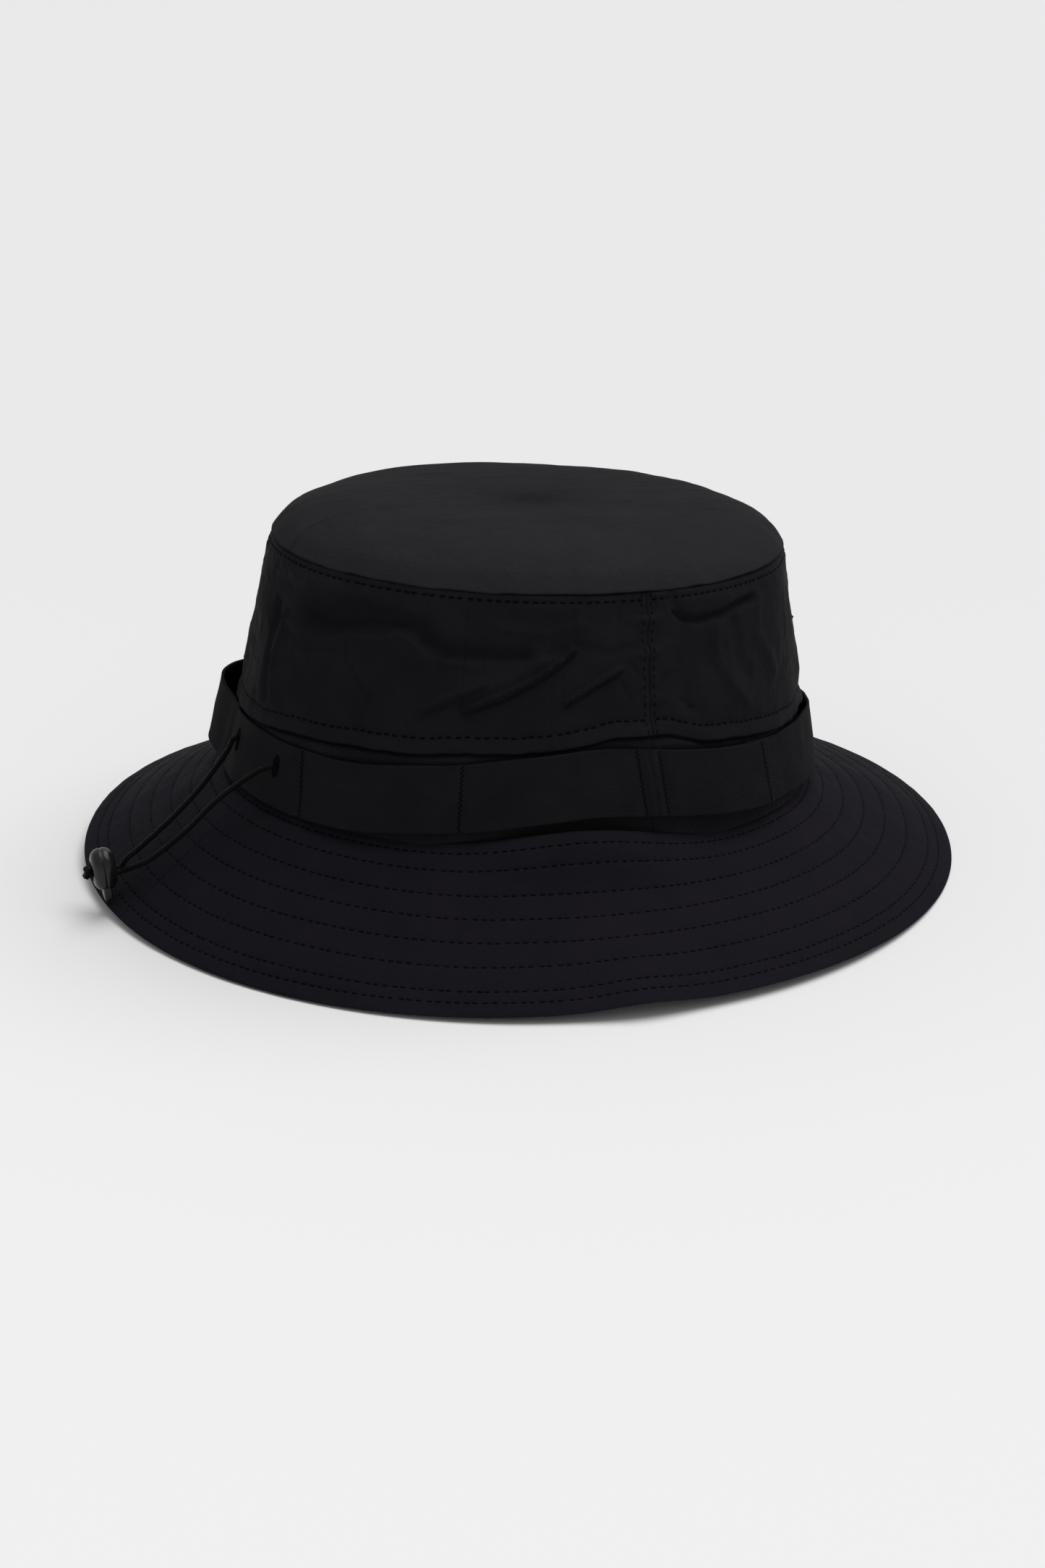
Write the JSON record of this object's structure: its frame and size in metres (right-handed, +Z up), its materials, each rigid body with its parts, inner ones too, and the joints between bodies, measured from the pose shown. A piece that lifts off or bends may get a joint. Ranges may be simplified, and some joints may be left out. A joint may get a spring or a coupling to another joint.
{
  "type": "bucket hat",
  "caption": "Soft bucket hat with a stitched brim, an oval crown, a webbing loop band and a drawcord with a cord lock.",
  "frame": {"origin": "on the surface the hat stands on, under the middle of the brim's outline", "axes": "+Y towards the wearer's front, +X towards the wearer's right, +Z up"},
  "size_m": [0.3002, 0.3327, 0.1357],
  "materials": {
    "black_nylon": "light crinkled nylon, soft sheen",
    "black_webbing": "flat ribbed webbing, matt",
    "seam_tape": "twill tape, matt",
    "sweatband_cloth": "wicking knit, matt",
    "interlining_felt": "non-woven, matt",
    "black_cord": "round braid, matt",
    "black_plastic": "moulded, satin",
    "spring_steel": "drawn wire"
  },
  "bodies": {
    "hat": {"crown_tip": "black_nylon", "crown_wall_front": "black_nylon", "crown_wall_back": "black_nylon", "crown_base_front": "black_nylon", "crown_base_back": "black_nylon", "brim_top": "black_nylon", "brim_under": "black_nylon", "brim_interlining": "interlining_felt", "sweatband": "sweatband_cloth", "tip_seam_tape": "seam_tape", "side_seam_tape_left": "seam_tape", "side_seam_tape_right": "seam_tape", "hatband_back": "black_webbing", "hatband_front": "black_webbing", "drawcord_inner": "black_cord", "drawcord_strand_left": "black_cord", "drawcord_strand_right": "black_cord"},
    "cord_lock": {"cord_lock_housing": "black_plastic", "cord_lock_spring": "spring_steel", "drawcord_knot": "black_cord"},
    "lock_button": {"cord_lock_plunger": "black_plastic"}
  },
  "joints": [
    {"name": "drawcord_travel", "type": "slide", "parent": "hat", "child": "cord_lock", "axis": [0.1578, 0.7818, 0.6032], "range_m": [0, 0.02], "deforming": ["drawcord_strand_left", "drawcord_strand_right"]},
    {"name": "button_press", "type": "slide", "parent": "cord_lock", "child": "lock_button", "axis": [-0.0239, -0.1124, 0.9934], "range_m": [0, 0.0024], "stiffness_N_per_m": 300, "springref_m": -0.002, "deforming": ["cord_lock_spring"]}
  ]
}
